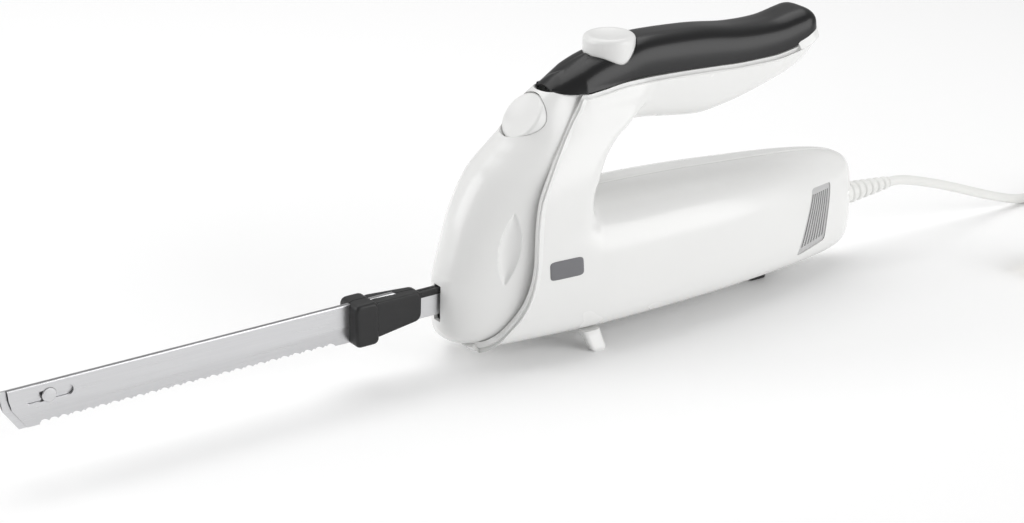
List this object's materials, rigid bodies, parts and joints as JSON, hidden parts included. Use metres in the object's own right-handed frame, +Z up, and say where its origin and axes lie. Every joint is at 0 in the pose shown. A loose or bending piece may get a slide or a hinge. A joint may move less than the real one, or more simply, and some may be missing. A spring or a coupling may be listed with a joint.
{
  "type": "uncapping knife",
  "caption": "Electric uncapping knife: boat-shaped motor body with an open-ended handle above it, thumb buttons on the nose and a pair of serrated reciprocating blades.",
  "frame": {"origin": "middle of the length from blade tip to stern, in the middle plane, on the surface that the feet rest on", "axes": "+X from the blade tips to the stern, +Y to the right side, +Z up"},
  "size_m": [0.668, 0.1274, 0.1446],
  "materials": {
    "white_shell": "smooth moulded gloss",
    "white_button": "smooth moulded satin",
    "black_grip": "soft satin",
    "black_moulding": "satin",
    "foot_rubber": "matt",
    "mark_print": "printed grey",
    "vent_plastic": "satin grey",
    "blade_steel": "ground along the length",
    "bright_steel": "bright",
    "spring_steel": "drawn wire",
    "plated_screw": "zinc plated",
    "frame_steel": "zinc grey",
    "core_steel": "laminated",
    "winding_copper": "enamelled wire",
    "commutator_copper": "turned copper",
    "worm_brass": "machined",
    "natural_nylon": "natural",
    "carbon": "pressed carbon",
    "capacitor_film": "film wrapped",
    "lead_sleeve": "vinyl sleeve",
    "cord_vinyl": "vinyl, satin",
    "pin_brass": "plated"
  },
  "bodies": {
    "housing": {"housing_left": "white_shell", "housing_right": "white_shell", "nose_cover": "white_shell", "handle_grip": "black_grip", "printed_mark": "mark_print", "vent_left": "vent_plastic", "vent_right": "vent_plastic", "front_feet": "white_shell", "rear_foot": "foot_rubber", "housing_screws": "plated_screw", "power_spring": "spring_steel", "micro_switch": "black_moulding", "suppression_capacitor": "capacitor_film", "lead_wires": "lead_sleeve", "eject_spring": "spring_steel", "eject_pin": "bright_steel", "slider_guides": "natural_nylon", "gearbox_frame": "frame_steel", "wheel_axle": "bright_steel", "front_bearing": "worm_brass", "rear_bearing": "worm_brass", "bearing_brackets": "frame_steel", "stator_core": "core_steel", "field_coils": "winding_copper", "brush_holders": "worm_brass", "carbon_brushes": "carbon", "brush_springs": "spring_steel", "cord_clamp": "white_shell", "cord_guard": "cord_vinyl", "power_cord": "cord_vinyl", "cord_coil": "cord_vinyl", "cord_tail": "cord_vinyl", "plug_body": "cord_vinyl", "plug_pins": "pin_brass"},
    "rotor": {"rotor_shaft": "bright_steel", "worm": "worm_brass", "rotor_core": "core_steel", "rotor_windings": "winding_copper", "commutator": "commutator_copper", "cooling_fan": "black_moulding"},
    "crank": {"worm_wheel": "natural_nylon", "eccentric_left": "worm_brass", "eccentric_right": "worm_brass"},
    "left_slider": {"drive_slider_left": "black_moulding", "blade_latch_left": "bright_steel"},
    "right_slider": {"drive_slider_right": "black_moulding", "blade_latch_right": "bright_steel"},
    "left_blade": {"blade_left": "blade_steel", "blade_grip_left": "black_moulding"},
    "right_blade": {"blade_right": "blade_steel", "blade_grip_right": "black_moulding", "blade_rivet": "bright_steel"},
    "power_button": {"power_button": "white_button"},
    "eject_button": {"eject_button": "white_button"},
    "eject_lever": {"eject_lever": "bright_steel"}
  },
  "joints": [
    {"name": "motor_spin", "type": "hinge", "parent": "housing", "child": "rotor", "pos_m": [0.11475, 0, 0.042], "axis": [1, 0, 0], "range_deg": [-720, 720]},
    {"name": "crank_turn", "type": "hinge", "parent": "housing", "child": "crank", "pos_m": [0.05075, 0, 0.027], "axis": [0, 1, 0], "range_deg": [-60.5, 60.5]},
    {"name": "left_drive_slide", "type": "slide", "parent": "housing", "child": "left_slider", "axis": [1, 0, 0], "range_m": [-0.0037, 0.0037]},
    {"name": "right_drive_slide", "type": "slide", "parent": "housing", "child": "right_slider", "axis": [1, 0, 0], "range_m": [-0.0037, 0.0037]},
    {"name": "left_blade_pull_out", "type": "slide", "parent": "left_slider", "child": "left_blade", "axis": [-1, 0, 0], "range_m": [0, 0.03]},
    {"name": "right_blade_pull_out", "type": "slide", "parent": "right_slider", "child": "right_blade", "axis": [-1, 0, 0], "range_m": [0, 0.03]},
    {"name": "power_button_press", "type": "slide", "parent": "housing", "child": "power_button", "axis": [0, 0, -1], "range_m": [0, 0.003], "stiffness_N_per_m": 600, "springref_m": -0.0005, "deforming": ["power_spring"]},
    {"name": "eject_button_press", "type": "slide", "parent": "housing", "child": "eject_button", "axis": [0.766, 0, -0.6428], "range_m": [0, 0.0022], "stiffness_N_per_m": 600, "springref_m": -0.0005, "deforming": ["eject_spring"]},
    {"name": "eject_lever_turn", "type": "hinge", "parent": "housing", "child": "eject_lever", "pos_m": [0.03875, 0, 0.086], "axis": [0, 1, 0], "range_deg": [0, 9.3]}
  ],
  "couplings": [
    {"joint": "crank_turn", "follows": "motor_spin", "ratio": -0.083333},
    {"joint": "left_drive_slide", "follows": "motor_spin", "m_per_rad": -0.00029},
    {"joint": "right_drive_slide", "follows": "motor_spin", "m_per_rad": 0.00029},
    {"joint": "right_blade_pull_out", "follows": "left_blade_pull_out", "ratio": 1},
    {"joint": "eject_lever_turn", "follows": "eject_button_press", "rad_per_m": 72}
  ]
}
